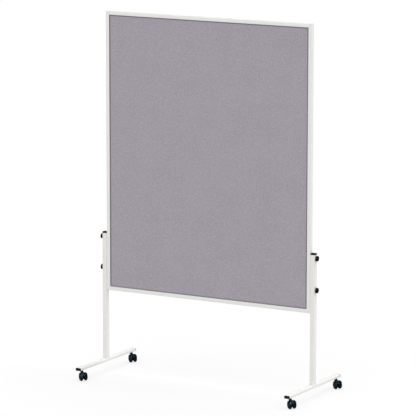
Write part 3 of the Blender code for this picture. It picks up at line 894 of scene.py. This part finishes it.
def stem_mesh():
    """A castor's stem, its collar under the foot tube."""
    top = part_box("castor_stem_right_rear")[1].z
    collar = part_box("foot_tube_right")[0].z - GAP
    profile = [
        (3.2 * MM, top), (4.0 * MM, top - 0.8 * MM), (4.0 * MM, collar), (5.0 * MM, collar),
        (5.0 * MM, collar - 1.5 * MM), (3.0 * MM, collar - 1.5 * MM),
        (3.0 * MM, STEM_TOP - 14 * MM),
    ]
    return turned("stem", profile, soft=0.3 * MM)


def build_castors():
    stem_low, stem_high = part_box("castor_stem_right_rear")
    spot_x = (stem_low.x + stem_high.x) / 2
    spot_y = (stem_low.y + stem_high.y) / 2
    hood, wheel, stem = hood_mesh(), wheel_mesh(), stem_mesh()
    axle = turned("axle", [(AXLE_RADIUS, -AXLE_REACH), (AXLE_RADIUS, AXLE_REACH)], 32)
    for side, sign in SIDES.items():
        for end, way in ENDS.items():
            where = f"{side}_{end}"
            castor = f"castor_{where}"
            spot = shift(x=sign * spot_x, y=way * spot_y)
            heading = spot @ turn(CASTOR_SWIVEL, "Z")
            centre = heading @ shift(x=CASTOR_TRAIL, z=WHEEL_RADIUS)
            piece(
                castor + "_stem_pin", stem, ZINC, "stand", "zinc_steel",
                spot, [f"castor_stem_{where}"],
            )
            piece(
                castor + "_hood", hood, HOOD, castor, "black_plastic",
                heading, [f"castor_hood_{where}"], sharp=38,
            )
            piece(
                castor + "_axle_pin", axle, ZINC, castor, "zinc_steel",
                centre @ turn(90, "X"), [f"castor_axle_{where}"],
            )
            for letter, out in (("a", -1), ("b", 1)):
                piece(
                    f"{castor}_wheel_{letter}", wheel, WHEEL, f"wheel_{where}_{letter}",
                    "black_tread", centre @ turn(-90 * out, "X"),
                    [f"castor_wheel_{where}_{letter}"], sharp=35,
                )


build_frame()
build_felt()
build_legs()
build_clamps()
build_castors()


# ---------------------------------------------------------------- studio


def pale_floor():
    """A pale seamless floor, lit well enough to merge with the white behind it."""
    m = Nodes("pale_floor", (0.15, 0.15, 0.15), 0.9, Specular_IOR_Level=0.0)
    tone = m.spread(m.noise(1.5, 2), 0.3, 0.7)
    m.feed("Base Color", m.mixed(tone, (0.148, 0.148, 0.148), (0.152, 0.152, 0.152)))
    m.set("Emission Color", (1.0, 1.0, 1.0, 1.0))
    # Gloss mirrors the floor darker than the eye sees it, as it does the room
    glossy = m.add("ShaderNodeLightPath").outputs["Is Glossy Ray"]
    m.feed("Emission Strength", m.spread(glossy, 0.0, 1.0, 0.757, 0.02))
    mesh = bpy.data.meshes.new("floor")
    reach = 60.0
    corners = [(-reach, -reach, 0), (reach, -reach, 0), (reach, reach, 0), (-reach, reach, 0)]
    mesh.from_pydata(corners, [], [(0, 1, 2, 3)])
    mesh.materials.append(m.material)
    floor = bpy.data.objects.new("floor", mesh)
    bpy.context.scene.collection.objects.link(floor)


def sun_light(name, towards, softness, strength, mirrored=False):
    """A broad distant lamp in that direction, which lights the matt part or shows in the gloss."""
    data = bpy.data.lights.new(name, "SUN")
    data.angle = math.radians(softness)
    data.energy = strength
    light = bpy.data.objects.new(name, data)
    light.visible_glossy, light.visible_diffuse = mirrored, not mirrored
    light.rotation_mode = "QUATERNION"
    light.rotation_quaternion = (-Vector(towards)).to_track_quat("-Z", "Y")
    bpy.context.scene.collection.objects.link(light)


def studio():
    """Even white light all round, in which gloss mirrors a darker room, lighter above."""
    world = bpy.data.worlds.new("studio")
    world.use_nodes = True
    world.cycles.sampling_method = "NONE"
    tree = world.node_tree
    background = tree.nodes["Background"]
    background.inputs["Color"].default_value = (1.0, 1.0, 1.0, 1.0)
    direction = tree.nodes.new("ShaderNodeTexCoord").outputs["Generated"]
    glossy = tree.nodes.new("ShaderNodeLightPath").outputs["Is Glossy Ray"]
    parts = tree.nodes.new("ShaderNodeSeparateXYZ")
    room = tree.nodes.new("ShaderNodeMapRange")
    for socket, value in (("From Min", 0.35), ("To Min", 0.03), ("To Max", 0.40)):
        room.inputs[socket].default_value = value
    seen = tree.nodes.new("ShaderNodeMix")
    seen.inputs["A"].default_value = 1.0
    tree.links.new(direction, parts.inputs[0])
    tree.links.new(parts.outputs["Z"], room.inputs["Value"])
    tree.links.new(glossy, seen.inputs["Factor"])
    tree.links.new(room.outputs["Result"], seen.inputs["B"])
    tree.links.new(seen.outputs[0], background.inputs["Strength"])
    bpy.context.scene.world = world
    sun_light("softbox", (-0.40, -0.77, 0.50), softness=44, strength=6.2, mirrored=True)
    sun_light("key", (0.75, 0.20, 0.63), softness=20, strength=0.40)
    sun_light("overhead", (0.10, 0.0, 1.0), softness=60, strength=1.85)
    settings = bpy.context.scene.view_settings
    settings.view_transform = "Standard"
    settings.look = "None"
    settings.exposure = 0.0


def camera():
    data = bpy.data.cameras.new("camera")
    data.lens = CAMERA_LENS
    data.sensor_width = 36.0
    data.clip_start, data.clip_end = 0.5, 200
    cam = bpy.data.objects.new("camera", data)
    a, e = math.radians(CAMERA_AZIMUTH), math.radians(CAMERA_ELEVATION)
    back = Vector((math.sin(a) * math.cos(e), -math.cos(a) * math.cos(e), math.sin(e)))
    cam.location = Vector(CAMERA_TARGET) + back * CAMERA_DISTANCE
    cam.rotation_mode = "QUATERNION"
    aim = (-back).to_track_quat("-Z", "Y").to_matrix().to_4x4()
    cam.rotation_quaternion = (aim @ turn(CAMERA_ROLL, "Z")).to_quaternion()
    bpy.context.scene.collection.objects.link(cam)
    bpy.context.scene.camera = cam


pale_floor()
studio()
camera()
